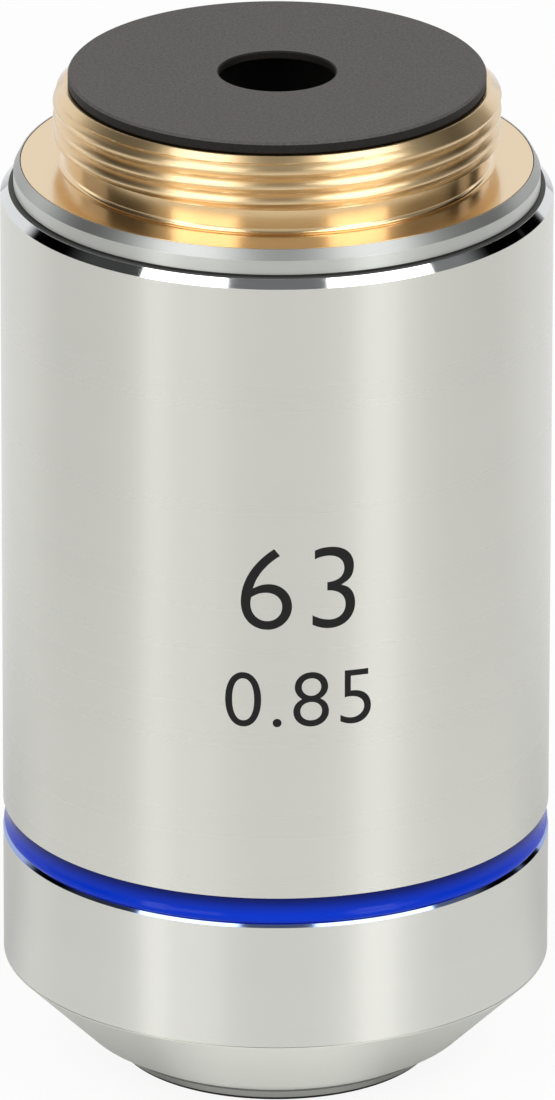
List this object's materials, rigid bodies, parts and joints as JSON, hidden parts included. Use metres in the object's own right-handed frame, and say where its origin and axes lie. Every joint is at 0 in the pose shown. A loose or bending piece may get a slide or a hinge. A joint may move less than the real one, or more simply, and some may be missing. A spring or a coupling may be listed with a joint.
{
  "type": "microscope objective",
  "caption": "Upright microscope objective with a threaded mounting end, colour ring, conical nose and a spring-loaded front cell that can be pushed in.",
  "frame": {"origin": "on the optical axis, in the plane of the tip's front face that it stands on", "axes": "+Z along the optical axis towards the mounting thread; +X to the right of the pictured side, +Y away from it"},
  "size_m": [0.025, 0.025, 0.0475],
  "materials": {
    "satin_chrome": "satin chrome plate on brass",
    "bright_chrome": "polished chrome plate on brass",
    "bare_brass": "fine turned",
    "blackened_brass": "matte black oxide",
    "black_anodised": "matte black anodised",
    "blue_enamel": "gloss enamel",
    "spring_steel": "drawn",
    "lens_glass": "polished and coated"
  },
  "bodies": {
    "barrel": {"outer_sleeve": "satin_chrome", "color_ring": "blue_enamel", "main_barrel": "bright_chrome", "mounting_ring": "bare_brass", "rear_stop": "black_anodised", "nose_cone": "satin_chrome", "coil_spring": "spring_steel", "spring_seat": "blackened_brass", "guide_pin": "spring_steel"},
    "lens_unit": {"lens_barrel": "blackened_brass", "centering_screws": "spring_steel", "front_cell": "satin_chrome", "front_lens": "lens_glass", "meniscus_cell": "blackened_brass", "meniscus_lens": "lens_glass", "doublet_cell_1": "blackened_brass", "doublet_1_flint": "lens_glass", "doublet_1_crown": "lens_glass", "spacer_1": "blackened_brass", "doublet_cell_2": "blackened_brass", "doublet_2_flint": "lens_glass", "doublet_2_crown": "lens_glass", "spacer_2": "blackened_brass", "rear_cell": "blackened_brass", "rear_crown": "lens_glass", "rear_flint": "lens_glass", "lens_lock_ring": "blackened_brass"}
  },
  "joints": [
    {"name": "tip_retraction", "type": "slide", "parent": "barrel", "child": "lens_unit", "axis": [0, 0, 1], "range_m": [0, 0.0009], "stiffness_N_per_m": 600, "springref_m": -0.005, "deforming": ["coil_spring"]}
  ]
}
